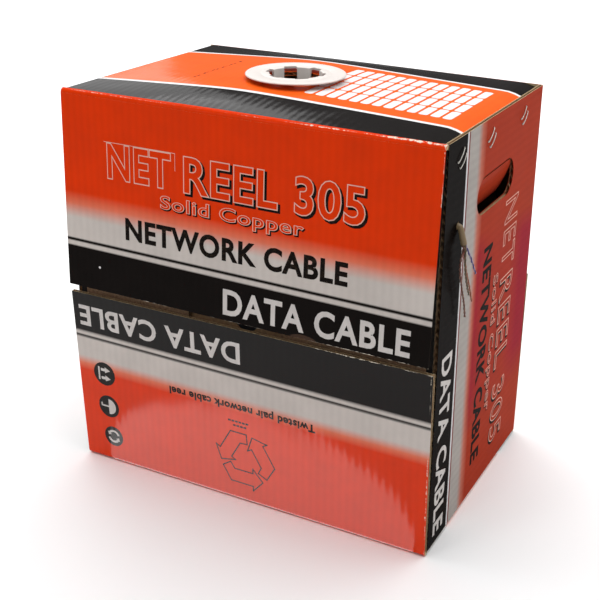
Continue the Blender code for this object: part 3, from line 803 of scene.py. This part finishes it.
def make_pads():
    for end, where in ENDS:
        hole = prism("hole", circle(0.0123, 48), 0.03, (0, end * PAD_FACE, AXLE_HEIGHT), (pi / 2, 0, 0))
        board(where + "_support_pad_board", [where + "_support_pad"], "root",
              lambda u, v, w, e=end: Vector((u - PAD_WIDTH / 2, e * (PAD_FACE - w), FOLD + v)),
              (PAD_WIDTH, HEIGHT - 2 * FOLD - GAP), "u", None, thickness=0.005, cutters=[hole], cell=0.02)


# ---- lettering and graphics ----

INK_LIFT = 0.00006


def letter_mesh(text, width, height, weight=0.0):
    """Plain block letters that fill width by height, from their lower left corner: (verts, faces)."""
    curve = bpy.data.curves.new("letters", "FONT")
    curve.body = text
    curve.resolution_u = 4
    curve.space_character = 1.08
    flat = link("letters", curve)
    bpy.context.view_layer.update()
    low, high = Vector(flat.bound_box[0]), Vector(flat.bound_box[6])
    across, up = width / (high.x - low.x), height / (high.y - low.y)
    curve.offset = weight / sqrt(across * up)
    mesh = baked(flat)
    bpy.data.objects.remove(flat, do_unlink=True)
    verts = [((v.co.x - low.x) * across, (v.co.y - low.y) * up) for v in mesh.vertices]
    return verts, [tuple(p.vertices) for p in mesh.polygons]


def fan(points):
    return points, [tuple(range(len(points)))]


def disc(x, y, radius):
    return fan([(x + across, y + up) for across, up in circle(radius, 40)])


def rectangle(x0, y0, x1, y1):
    return fan([(x0, y0), (x1, y0), (x1, y1), (x0, y1)])


class Graphic:
    """Layers of ink on one surface. place(x, y, lift) is a point of it, in the surface's own plane."""

    def __init__(self, name, body, place):
        self.name, self.body, self.place = name, body, place
        self.verts, self.faces, self.kinds, self.materials = [], [], [], []

    def add(self, shape, material, layer=0, x=0.0, y=0.0):
        verts, faces = shape
        start = len(self.verts)
        lift = INK_LIFT * (1 + layer)
        if material not in self.materials:
            self.materials.append(material)
        self.verts += [self.place(vx + x, vy + y, lift) for vx, vy in verts]
        self.faces += [tuple(i + start for i in face) for face in faces]
        self.kinds += [self.materials.index(material)] * len(faces)

    def done(self):
        mesh = bpy.data.meshes.new(self.name)
        mesh.from_pydata([tuple(v) for v in self.verts], [], self.faces)
        mesh.polygons.foreach_set("material_index", self.kinds)
        obj = link(self.name, mesh, self.materials)
        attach(obj, self.body)


def outlined(graphic, text, x, y, width, height, line, fill, edge, shadow=None, offset=(0.0012, -0.0012),
             weight=0.0):
    """Hollow letters: a shadow, a light outline, and the print's own colour inside."""
    if shadow:
        graphic.add(letter_mesh(text, width, height, weight + line), shadow, 0, x + offset[0], y + offset[1])
    graphic.add(letter_mesh(text, width, height, weight + line / 2), edge, 1, x, y)
    graphic.add(letter_mesh(text, width, height, weight - line / 2), fill, 2, x, y)


TITLE_BOX = "NET"
TITLE = "REEL 305"
SECOND = "Solid Copper"
CONTENTS = "NETWORK CABLE"
BAND = "DATA CABLE"
SMALL_LINE = "Twisted pair network cable reel"


def flap_surface(end, upper):
    """Maps x from the left edge and y down from the top to a point on an outer flap, in metres."""
    def place(x, y, lift):
        share = x / (2 * HALF_WIDTH)
        if end > 0:
            share = 1 - share
        s = y if upper else HEIGHT - y
        return flap_point(end, upper, share, (s - FOLD) / (flap_length(upper, share) - FOLD), -lift)
    return place


def make_flap_graphics(end, where):
    black, light, outline = INKS["black", "upper"], INKS["light", "upper"], INKS["outline", "upper"]
    surface = flap_surface(end, True)
    upright = lambda x, y, lift: surface(x, -y, lift)
    graphic = Graphic(where + "_upper_print", where + "_upper_flap", upright)
    graphic.add(rectangle(0.0445, -0.041, 0.1175, -0.0405), outline, 1)
    graphic.add(rectangle(0.1171, -0.056, 0.1175, -0.0405), outline, 1)
    outlined(graphic, TITLE_BOX, 0.0485, -0.0717, 0.0635, 0.029, 0.0009, UPPER_PRINT, outline, weight=0.0011)
    outlined(graphic, TITLE, 0.127, -0.0725, 0.165, 0.03, 0.0009, UPPER_PRINT, outline, black,
             (0.0019, -0.0017), 0.0011)
    outlined(graphic, SECOND, 0.1025, -0.0945, 0.137, 0.015, 0.0006, UPPER_PRINT, outline, black,
             (0.001, -0.001), 0.0003)
    graphic.add(letter_mesh(CONTENTS, 0.2147, 0.019, 0.0009), black, 0, 0.0655, -0.1255)
    graphic.add(letter_mesh(BAND, 0.172, 0.0225, 0.0008), light, 0, 0.1655, -0.1745)
    graphic.done()

    black, light = INKS["black", "lower"], INKS["light", "lower"]
    surface = flap_surface(end, False)
    upright = lambda x, y, lift: surface(x, -y, lift)
    over = lambda x, y, lift: surface(-x, y, lift)
    graphic = Graphic(where + "_lower_letters", where + "_lower_flap", over)
    graphic.add(letter_mesh(BAND, 0.17, 0.0195, 0.0007), light, 0, -0.177, 0.2)
    graphic.add(letter_mesh(SMALL_LINE, 0.148, 0.0095, 0.0004), black, 0, -0.25, 0.258)
    graphic.done()
    graphic = Graphic(where + "_lower_marks", where + "_lower_flap", upright)
    for line, (start, stop) in enumerate(((0.163, 0.188), (0.168, 0.183))):
        for dash in range(floor((stop - start) / 0.0036)):
            x = start + dash * 0.0036
            graphic.add(rectangle(x, -0.279 - 0.0042 * line, x + 0.0028, -0.2772 - 0.0042 * line), black)
    triangle_mark(graphic, 0.1795, -0.3155, black)
    for centre, radius, draw in (((0.0283, -0.2668), 0.012, arrows), ((0.03, -0.301), 0.0115, half_disc),
                                 ((0.0325, -0.333), 0.0105, open_ring)):
        graphic.add(disc(*centre, radius), black)
        draw(graphic, centre, radius, light)
    graphic.done()


def stroked(graphic, points, ink, width=0.0011):
    """A closed outline drawn as a line of even width."""
    for k, point in enumerate(points):
        start, stop = Vector(points[k - 1]), Vector(point)
        along = (stop - start).normalized() * width / 2
        across = Vector((-along.y, along.x))
        corners = (start - along - across, stop + along - across, stop + along + across, start - along + across)
        graphic.add(fan([tuple(corner) for corner in corners]), ink, k % 2)


def triangle_mark(graphic, x, y, ink):
    """Three hollow arrows that chase each other round a triangle."""
    arrow = [(-0.0175, -0.0085), (-0.0115, -0.019), (0.0055, -0.019), (0.0055, -0.0225), (0.013, -0.014),
             (0.0055, -0.0055), (0.0055, -0.009), (-0.0085, -0.009), (-0.0115, -0.0045)]
    for third in range(3):
        c, s = 1.36 * cos(third * 2 * pi / 3), 1.36 * sin(third * 2 * pi / 3)
        stroked(graphic, [(x + c * px - s * py, y + s * px + c * py) for px, py in arrow], ink)


def arrows(graphic, centre, radius, ink):
    """Two short arrows that point to the right, beside an upright bar."""
    x, y = centre
    for side in (-1, 1):
        at = y + side * radius * 0.36
        graphic.add(fan([(x + 0.001, at + 0.0031), (x + 0.001, at - 0.0031), (x + 0.007, at)]), ink, 1)
        graphic.add(rectangle(x - 0.0036, at - 0.0014, x + 0.001, at + 0.0014), ink, 1)
    graphic.add(rectangle(x - 0.0068, y - 0.0068, x - 0.005, y + 0.0068), ink, 1)


def half_disc(graphic, centre, radius, ink):
    x, y = centre
    arc = [(x + radius * 0.7 * sin(pi * i / 20), y + radius * 0.7 * cos(pi * i / 20)) for i in range(21)]
    graphic.add(fan(arc), ink, 1)
    graphic.add(rectangle(x - 0.0078, y - 0.0008, x, y + 0.0008), ink, 1)
    graphic.add(rectangle(x - 0.0086, y - 0.0008, x - 0.0072, y + 0.003), ink, 1)


def open_ring(graphic, centre, radius, ink):
    x, y = centre
    outer, inner = radius * 0.66, radius * 0.44
    for start in (0.3, 3.44):
        arc = [start + 2.2 * i / 14 for i in range(15)]
        verts = [(x + r * cos(a), y + r * sin(a)) for r in (outer, inner) for a in arc]
        graphic.add((verts, [(i, i + 1, i + 16, i + 15) for i in range(14)]), ink, 1)
        tip = arc[-1] + 0.5
        graphic.add(fan([(x + (outer + 0.0014) * cos(arc[-1]), y + (outer + 0.0014) * sin(arc[-1])),
                         (x + (inner - 0.0014) * cos(arc[-1]), y + (inner - 0.0014) * sin(arc[-1])),
                         (x + radius * 0.55 * cos(tip), y + radius * 0.55 * sin(tip))]), ink, 1)


def make_side_graphics(side, name):
    """Lettering that reads along the height, with its head towards the rear."""
    black, light, outline = INKS["black", "side"], INKS["light", "side"], INKS["outline", "side"]

    def place(x, y, lift):
        z = HEIGHT - x if side > 0 else x
        return side_place(side, y - HALF_DEPTH, z, -lift)

    def start(low, high):
        """Where a line that spans these depths below the top starts."""
        return low if side > 0 else HEIGHT - high

    graphic = Graphic(name + "_panel_print", "root", place)
    graphic.add(letter_mesh(BAND, 0.167, 0.021, 0.0008), light, 0, start(0.18, 0.347), 0.014)
    graphic.add(letter_mesh(CONTENTS, 0.21, 0.02, 0.001), black, 0, start(0.115, 0.325), 0.1)
    outlined(graphic, SECOND, start(0.15, 0.285), 0.126, 0.135, 0.016, 0.0007, SIDE_PRINT, outline, black,
             (0.0009, -0.0009))
    title = start(0.087, 0.331)
    outlined(graphic, TITLE_BOX, title, 0.15, 0.064, 0.033, 0.0011, SIDE_PRINT, outline)
    outlined(graphic, TITLE, title + 0.074, 0.15, 0.17, 0.0335, 0.0011, SIDE_PRINT, outline, black,
             (0.0016, -0.0014))
    graphic.done()


def round_box(x0, y0, x1, y1, radius, rows=10):
    """A rounded rectangle as a strip of rows along y, so that it can follow a curved surface."""
    verts, faces = [], []
    levels = [radius * (1 - cos(pi / 2 * i / 4)) for i in range(4)]
    ys = [y0 + d for d in levels] + [y0 + radius + (y1 - y0 - 2 * radius) * i / rows for i in range(rows + 1)]
    ys += [y1 - d for d in reversed(levels)]
    for y in ys:
        into = max(0.0, radius - min(y - y0, y1 - y))
        inset = radius - sqrt(max(0.0, radius ** 2 - into ** 2))
        verts += [(x0 + inset, y), (x1 - inset, y)]
    faces = [(2 * i, 2 * i + 1, 2 * i + 3, 2 * i + 2) for i in range(len(ys) - 1)]
    return verts, faces


def make_top_graphics():
    white, black = INKS["white", "top"], INKS["black", "top"]
    graphic = Graphic("top_panel_print", "root", lambda x, y, lift: top_place(x, y, -lift))
    pitch_x, pitch_y, wide, long = 0.0103, 0.0268, 0.0079, 0.0248
    for column in range(13):
        for row in range(4):
            x = 0.0218 + column * pitch_x - 0.0004 * row
            y = -0.0508 + row * pitch_y
            graphic.add(round_box(x, y, x + wide, y + long, 0.0026), white)
    for dash in range(16):
        y = -0.044 + dash * 0.005
        left, right = -0.0918 + 0.0006 * (dash % 3), -0.0906 + 0.0006 * (dash % 2)
        graphic.add(rectangle(left, y, right, y + 0.0038), black)
    graphic.done()


# ---- the ring ----

def make_ring():
    throat, wall, barb = 0.0229, 0.0245, 0.0261
    top, foot = RING_FLANGE_TOP, RING_FLANGE_TOP - 0.02
    profile = [(0.0238, top - 0.00012), (0.0264, top), (0.03, top), (0.0303, top - 0.00018),
               (0.0309, top - 0.00018), (0.0312, top), (0.0424, top), (0.0431, top - 0.00012),
               (0.0437, top - 0.0005), (0.044, top - 0.00095), (0.0439, top - 0.0014),
               (0.0434, top - 0.00175), (0.0426, top - 0.0018), (0.0423, top - 0.001),
               (0.0284, top - 0.0009), (0.0275, top - 0.0018), (wall, top - 0.002), (wall, 0.363),
               (barb, 0.3624), (barb - 0.0001, 0.362), (wall, 0.3594), (wall, foot + 0.0004),
               (wall - 0.0004, foot), (throat + 0.0004, foot), (throat, foot + 0.0004), (throat, top - 0.001),
               (throat + 0.0002, top - 0.0005), (throat + 0.0005, top - 0.0002)]
    ring = turned("pay_out_ring", profile, 144, RING_PLASTIC)
    corner, side = 0.002, 0.0059
    outline = [(0.0198, -side), (0.0198, side)]
    for y, start in ((side - corner, 0), (corner - side, -pi / 2)):
        for step in range(7):
            angle = start + pi / 2 * (1 - step / 6)
            outline.append((barb - corner + corner * cos(angle), y + corner * sin(angle)))
    for notch in range(6):
        cutter = prism("notch", outline, 0.06, (0, 0, 0.363), (0, 0, radians(11 + 60 * notch)))
        boolean(ring, cutter, "DIFFERENCE")
        bpy.data.objects.remove(cutter, do_unlink=True)
    ring.data.transform(Matrix.Translation(RING_CENTRE))
    piece(ring, 38, "ring_plastic", "root", "guide_ring")


# ---- the stitches ----

def make_stitches():
    """Each wire lies slanting on the panel: one end curls back beside it, the other dives into the board."""
    along, inward, curl = Vector((0, 0.011, 0.0086)), Vector((-1, 0, 0)), 0.0007
    rise, across = along.normalized(), Vector((0, -along.z, along.y)).normalized()
    for place, centre in STITCH_CENTRES_Y.items():
        for wire, share in (("upper", -0.5), ("lower", 0.5)):
            middle = Vector((HALF_WIDTH + 0.0009, centre + share * STITCH_STEP_Y,
                             STITCH_HEIGHT + share * STITCH_STEP_Z))
            low, high = middle - along / 2, middle + along / 2
            route = []
            for step in range(7):
                turn = pi * step / 6
                route.append(low + across * curl * (cos(turn) + 1) * 0.8 - rise * curl * sin(turn)
                             + inward * 0.0006 * (1 - step / 6))
            for step in range(1, 12):
                route.append(low.lerp(high, step / 12) - inward * 0.0005 * sin(pi * step / 12))
            for step in range(1, 7):
                turn = pi / 2 * step / 6
                route.append(high + rise * curl * sin(turn) + inward * curl * 1.3 * (1 - cos(turn)))
            name = "_".join([place, "stitch", wire])
            obj = raw_object(name + "_wire", *tube(route, 0.00044, 10), [STEEL])
            piece(obj, 60, "stitch_steel", "root", name)


# ---- the reel ----

def lay_on_axle(obj, flipped=False):
    """Turns a piece drawn about Z, facing up, so that it lies on the axle and faces the front."""
    matrix = Matrix.Translation((0, 0, AXLE_HEIGHT)) @ Matrix.Rotation(pi / 2, 4, "X")
    if flipped:
        matrix = matrix @ Matrix.Rotation(pi, 4, "X")
    obj.data.transform(matrix)


def axle_piece(name, profile, steps, material, slot, body, node, flipped=False):
    obj = turned(name, profile, steps, material)
    lay_on_axle(obj, flipped)
    piece(obj, 40, slot, body, node)


def make_reel():
    half, bevel, bore, barrel = REEL_HALF, 0.0006, 0.0124, 0.0172
    low, high = half, half + 0.006
    flange = [(0.165 - bevel, high), (0.165, high - bevel), (0.165, low + bevel), (0.165 - bevel, low),
              (0.1, low), (0.0175, low), (0.0175, high), (0.1, high)]
    collar = high + GAP + 0.003
    hub = [(0.0252, collar), (0.0258, collar - 0.0004), (0.026, collar - 0.001), (0.026, collar - 0.003),
           (barrel, collar - 0.003), (barrel, half - 0.006), (bore, half - 0.006), (bore, collar - 0.0004),
           (bore + 0.0004, collar), (0.016, collar), (0.0164, collar - 0.0006), (0.0226, collar - 0.0006),
           (0.023, collar)]
    for end, where in ENDS:
        axle_piece(where + "_flange_board", flange, 128, FIBREBOARD, "fibreboard", "spool",
                   "spool_" + where + "_flange", end > 0)
        axle_piece(where + "_hub_bush", hub, 64, HUB_PLASTIC, "hub_plastic", "spool", "spool_" + where + "_hub",
                   end > 0)
    core = [(0.05, half - GAP), (0.05, GAP - half), (0.046, GAP - half), (0.046, half - GAP)]
    axle_piece("reel_core", core, 96, TUBE_BOARD, "tube_board", "spool", "spool_core")


def make_windings():
    """The wound cable: its outer layer as separate turns that lie at a slight slant."""
    low, high, core = GAP - REEL_HALF, REEL_HALF - GAP, 0.0503
    turns = floor((high - low) / CABLE_DIAMETER)
    pitch = (high - low) / turns
    around, arc = 120, 7
    rows = [(turn, k / arc) for turn in range(turns) for k in range(arc)] + [(turns - 1, 1.0)]
    angles = [2 * pi * i / around for i in range(around)]
    verts, faces = [], []
    for angle in angles:
        for turn, share in rows:
            sink = 0.0011 * (0.5 + 0.5 * noise.noise(Vector((turn * 1.7, cos(angle) * 1.3, sin(angle) * 1.3))))
            bulge = sqrt(max(0.0, 1 - (2 * share - 1) ** 2)) * CABLE_DIAMETER / 2
            slant = 0.5 * pitch * sin(angle) * (0.8 + 0.2 * cos(3 * angle)) * min(1, turn, turns - 1 - turn)
            radius = WINDING_RADIUS - CABLE_DIAMETER / 2 - sink + bulge
            z = max(low, min(high, low + (turn + share) * pitch + slant))
            verts.append((radius * cos(angle), radius * sin(angle), z))
    count, inner = len(rows), len(verts)
    verts += [(core * cos(angle), core * sin(angle), z) for angle in angles for z in (low, high)]
    for i in range(around):
        j = (i + 1) % around
        for k in range(count - 1):
            faces.append((i * count + k, j * count + k, j * count + k + 1, i * count + k + 1))
        faces.append((i * count, inner + 2 * i, inner + 2 * j, j * count))
        faces.append((i * count + count - 1, j * count + count - 1, inner + 2 * j + 1, inner + 2 * i + 1))
        faces.append((inner + 2 * i, inner + 2 * i + 1, inner + 2 * j + 1, inner + 2 * j))
    obj = raw_object("cable_windings", verts, faces, [JACKET])
    lay_on_axle(obj)
    piece(obj, 45, "cable_jacket", "spool", "wound_cable")


def make_axle():
    end = PAD_FACE
    profile = [(0.0113, end), (0.0118, end - 0.0002), (0.012, end - 0.0007), (0.012, 0.0007 - end),
               (0.0118, 0.0002 - end), (0.0113, -end), (0.0085, -end), (0.0085, end)]
    axle_piece("axle_tube", profile, 64, HUB_PLASTIC, "hub_plastic", "root", "spool_axle")


# ---- the cable's free end ----

def smooth_route(points, spacing):
    """Evenly spaced points on a smooth curve through the route's own points."""
    points = [Vector(point) for point in points]
    last = len(points) - 1
    tangents = [(points[min(i + 1, last)] - points[max(i - 1, 0)]) / (2 if 0 < i < last else 1)
                for i in range(last + 1)]
    fine = [points[0]]
    for a, b, leave, arrive in zip(points, points[1:], tangents, tangents[1:]):
        fine += interpolate_bezier(a, a + leave / 3, b - arrive / 3, b, 24)[1:]
    lengths = [0.0]
    for a, b in zip(fine, fine[1:]):
        lengths.append(lengths[-1] + (b - a).length)
    count = max(3, round(lengths[-1] / spacing))
    route = []
    for step in range(count + 1):
        along = lengths[-1] * step / count
        i = min(sum(length < along for length in lengths[1:]), len(fine) - 2)
        route.append(fine[i].lerp(fine[i + 1], (along - lengths[i]) / (lengths[i + 1] - lengths[i])))
    return route


def path_length(route):
    return sum((b - a).length for a, b in zip(route, route[1:]))


def make_cable_tail():
    """The jacket's end leaves the winding at a tangent, and bends down outside its hole. Returns the
    direction in which it ends."""
    clear = WINDING_RADIUS + CABLE_DIAMETER / 2 + GAP
    reach = Vector((CABLE_EXIT.x, CABLE_EXIT.z - AXLE_HEIGHT))
    share = clear / reach.length
    along = reach.normalized()
    tangent = (along * share + Vector((-along.y, along.x)) * sqrt(1 - share * share)) * clear
    start = Vector((tangent.x, CABLE_EXIT.y, tangent.y + AXLE_HEIGHT))
    mouth = CABLE_EXIT + (CABLE_EXIT - start).normalized() * BOARD
    points = [start, start.lerp(CABLE_EXIT, 0.35), start.lerp(CABLE_EXIT, 0.7), CABLE_EXIT, mouth, CABLE_END]
    coarse = smooth_route(points, 0.0065)
    verts, faces = tube(smooth_route(coarse, 0.0012), lambda share: (
        CABLE_DIAMETER / 2 - 0.00008 + 0.00006 * noise.noise(Vector((share * 40, 0, 0)))), 24)
    piece(raw_object("cable_tail_jacket", verts, faces, [JACKET]), 50, "cable_jacket", "root", "cable_tail")
    return (coarse[-1] - coarse[-2]).normalized()


PAIR_ROUTES = {
    "twisted_pair_blue": ((1, 1), [(0.0028, 0.0005, -0.007), (0.0047, 0.0035, -0.015),
                                   (0.0055, 0.0114, -0.0276)]),
    "twisted_pair_green": ((-1, 1), [(0.0011, -0.0002, -0.013), (0.0021, -0.0006, -0.023),
                                     (0.0025, 0.0037, -0.035), (0.0025, 0.0093, -0.045)]),
    "twisted_pair_orange": ((1, -1), [(0.0012, 0.0022, -0.013), (0.0018, 0.0058, -0.025),
                                      (0.002, 0.0135, -0.039), (0.002, 0.0222, -0.056)]),
    "twisted_pair_brown": ((-1, -1), [(0.0004, -0.0028, -0.012), (0.0002, -0.0016, -0.024),
                                      (0.0002, 0.004, -0.038), (0.0002, 0.011, -0.053),
                                      (0.0002, 0.0154, -0.067)]),
}
PAIR_COLOURS = {
    "twisted_pair_blue": (srgb(64, 52, 120), srgb(150, 140, 168)),
    "twisted_pair_green": (srgb(78, 70, 44), srgb(128, 96, 70)),
    "twisted_pair_orange": (srgb(150, 74, 42), srgb(172, 120, 92)),
    "twisted_pair_brown": (srgb(96, 48, 34), srgb(140, 98, 80)),
}


def make_pairs(direction):
    """Four bared pairs, each two insulated wires that twist round each other."""
    outward = Vector((0, 1, 0)).cross(direction).normalized() * -PAIR_SPREAD
    rearward = direction.cross(outward).normalized() * -PAIR_SPREAD
    wire = PAIR_DIAMETER / 4 - 0.00001
    for name, ((rear, out), moves) in PAIR_ROUTES.items():
        start = CABLE_END + rear * rearward + out * outward + GAP * direction
        points = [start, start + PAIR_STRAIGHT * direction] + [start + Vector(step) for step in moves]
        path = smooth_route(points, 0.0006)
        verts, faces, kinds = [], [], []
        for strand in (0, 1):
            line = []
            for i, (point, (across, up)) in enumerate(zip(path, transport(path))):
                turn = 2 * pi * path_length(path[:i + 1]) / PAIR_LAY + pi * strand
                line.append(point + wire * (cos(turn) * across + sin(turn) * up))
            more_verts, more_faces = tube(line, wire * 0.985, 10)
            faces += [tuple(i + len(verts) for i in face) for face in more_faces]
            verts += more_verts
            kinds += [strand] * len(more_faces)
        insulation = [plastic(name + "_insulation_" + str(strand + 1), colour, 0.38, 900)
                      for strand, colour in enumerate(PAIR_COLOURS[name])]
        obj = raw_object(name + "_wires", verts, faces, insulation, kinds)
        piece(obj, 60, name.replace("twisted_", ""), "root", name)


make_pairs(make_cable_tail())
make_top()
make_bottom()
make_sides()
make_outer_flaps()
make_inner_flaps()
make_pads()
make_axle()
make_reel()
make_windings()
make_ring()
make_stitches()
for facing, facing_name in ENDS:
    make_flap_graphics(facing, facing_name)
for facing, facing_name in ((1, "right"), (-1, "left")):
    make_side_graphics(facing, facing_name)
make_top_graphics()


# ---- the floor and the light ----

def make_floor():
    shade = Shade("floor_paper", roughness=0.9, specular=0.1)
    grain = shade.map(shade.noise(6, 2), 0.3, 0.7, 0, 0.02)
    paper = shade.finish(shade.mix(grain, (0.93, 0.93, 0.93, 1), (0.8, 0.8, 0.8, 1)), None)
    mesh = bpy.data.meshes.new("floor")
    corners = ((-30, -30), (30, -30), (30, 30), (-30, 30))
    mesh.from_pydata([(x, y, -0.0004) for x, y in corners], [], [(0, 1, 2, 3)])
    link("floor", mesh, [paper])


def area_light(name, place, target, size, watts):
    data = bpy.data.lights.new(name, "AREA")
    data.shape = "RECTANGLE"
    data.size, data.size_y = size
    data.energy = watts
    lamp = link(name, data)
    lamp.location = place
    lamp.rotation_mode = "QUATERNION"
    lamp.rotation_quaternion = (Vector(target) - Vector(place)).to_track_quat("-Z", "Y")
    return lamp


def make_lights():
    world = bpy.data.worlds.new("studio")
    world.use_nodes = True
    sky = world.node_tree.nodes["Background"]
    sky.inputs["Color"].default_value = (0.97, 0.98, 1.0, 1)
    sky.inputs["Strength"].default_value = 0.2
    bpy.context.scene.world = world
    area_light("overhead", (-0.3, 1.3, 2.6), (-0.3, 1.3, 0), (5.4, 4.6), 195)
    area_light("front_fill", (-1.2, -2.2, 1.3), (0, 0, 0.2), (0.8, 0.8), 9)
    area_light("rear_left", (-2.5, 2.0, 1.35), (0, 0, 0.35), (1.5, 1.5), 9)
    # The white floor's sheen in the varnish of the lower front flap: an oval that only reflections see.
    card = area_light("floor_card", (-0.0096, -0.1451, 0.0006), (-0.0096, -0.1451, 1), (0.362, 0.184), 0.72)
    card.data.shape = "ELLIPSE"
    card.rotation_mode = "XYZ"
    card.rotation_euler = (pi, 0, radians(16.4))
    card.visible_camera = card.visible_diffuse = False


make_floor()
make_lights()
bpy.context.scene.view_settings.view_transform = "Standard"
